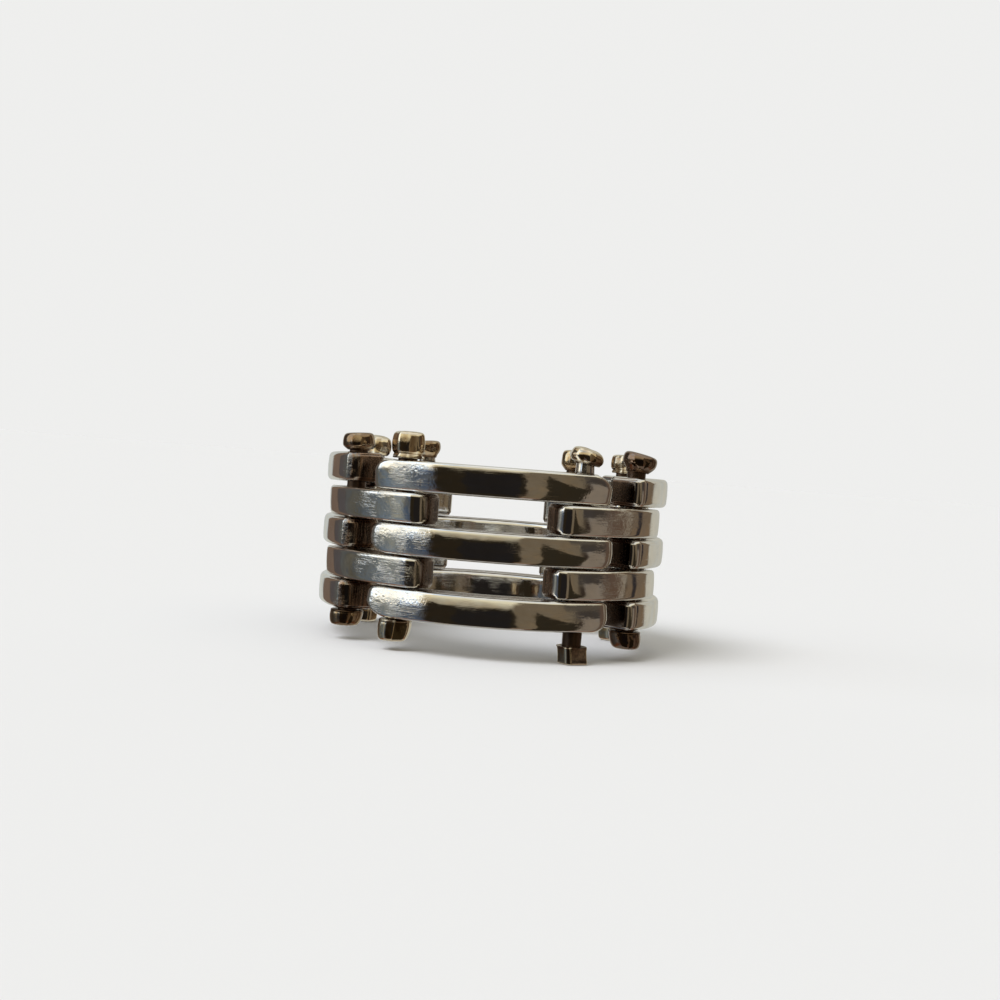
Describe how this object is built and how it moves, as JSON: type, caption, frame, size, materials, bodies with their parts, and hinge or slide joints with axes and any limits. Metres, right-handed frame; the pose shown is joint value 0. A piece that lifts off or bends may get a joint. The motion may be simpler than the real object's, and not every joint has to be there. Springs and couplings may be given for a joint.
{
  "type": "silver finger ring of hinged links",
  "caption": "Finger ring built as a flat chain of curved silver links in rows, hinged on pins along the finger axis, with a gold-toned cap on each pin end.",
  "frame": {"origin": "on the finger axis, at the surface that the ring lies on with its longest lower caps", "axes": "+Z along the finger axis and upwards, -Y towards the front, +X to the right of the front view"},
  "size_m": [0.0224, 0.0224, 0.0132],
  "materials": {
    "link_silver": "hand-polished silver with fine scratches, small dents and dark tarnish at the joints",
    "pin_silver": "drawn silver wire, slightly tarnished",
    "cap_gold_toned": "polished gold-toned metal with tarnish at the neck"
  },
  "bodies": {
    "root": {"long_front_row1": "link_silver", "long_front_row3": "link_silver", "long_front_row5": "link_silver", "long_right_row1": "link_silver", "long_right_row3": "link_silver", "long_right_row5": "link_silver", "long_back_row1": "link_silver", "long_back_row3": "link_silver", "long_back_row5": "link_silver", "long_left_row1": "link_silver", "long_left_row3": "link_silver", "long_left_row5": "link_silver", "short_front_right_row2": "link_silver", "short_front_right_row4": "link_silver", "short_back_right_row2": "link_silver", "short_back_right_row4": "link_silver", "short_back_left_row2": "link_silver", "short_back_left_row4": "link_silver", "short_front_left_row2": "link_silver", "short_front_left_row4": "link_silver", "pin_1": "pin_silver", "pin_2": "pin_silver", "pin_3": "pin_silver", "pin_4": "pin_silver", "pin_5": "pin_silver", "pin_6": "pin_silver", "pin_7": "pin_silver", "pin_8": "pin_silver", "upper_cap_1": "cap_gold_toned", "upper_cap_2": "cap_gold_toned", "upper_cap_3": "cap_gold_toned", "upper_cap_4": "cap_gold_toned", "upper_cap_5": "cap_gold_toned", "upper_cap_6": "cap_gold_toned", "upper_cap_7": "cap_gold_toned", "upper_cap_8": "cap_gold_toned", "lower_cap_1": "cap_gold_toned", "lower_cap_2": "cap_gold_toned", "lower_cap_3": "cap_gold_toned", "lower_cap_4": "cap_gold_toned", "lower_cap_5": "cap_gold_toned", "lower_cap_6": "cap_gold_toned", "lower_cap_7": "cap_gold_toned", "lower_cap_8": "cap_gold_toned"}
  },
  "joints": []
}
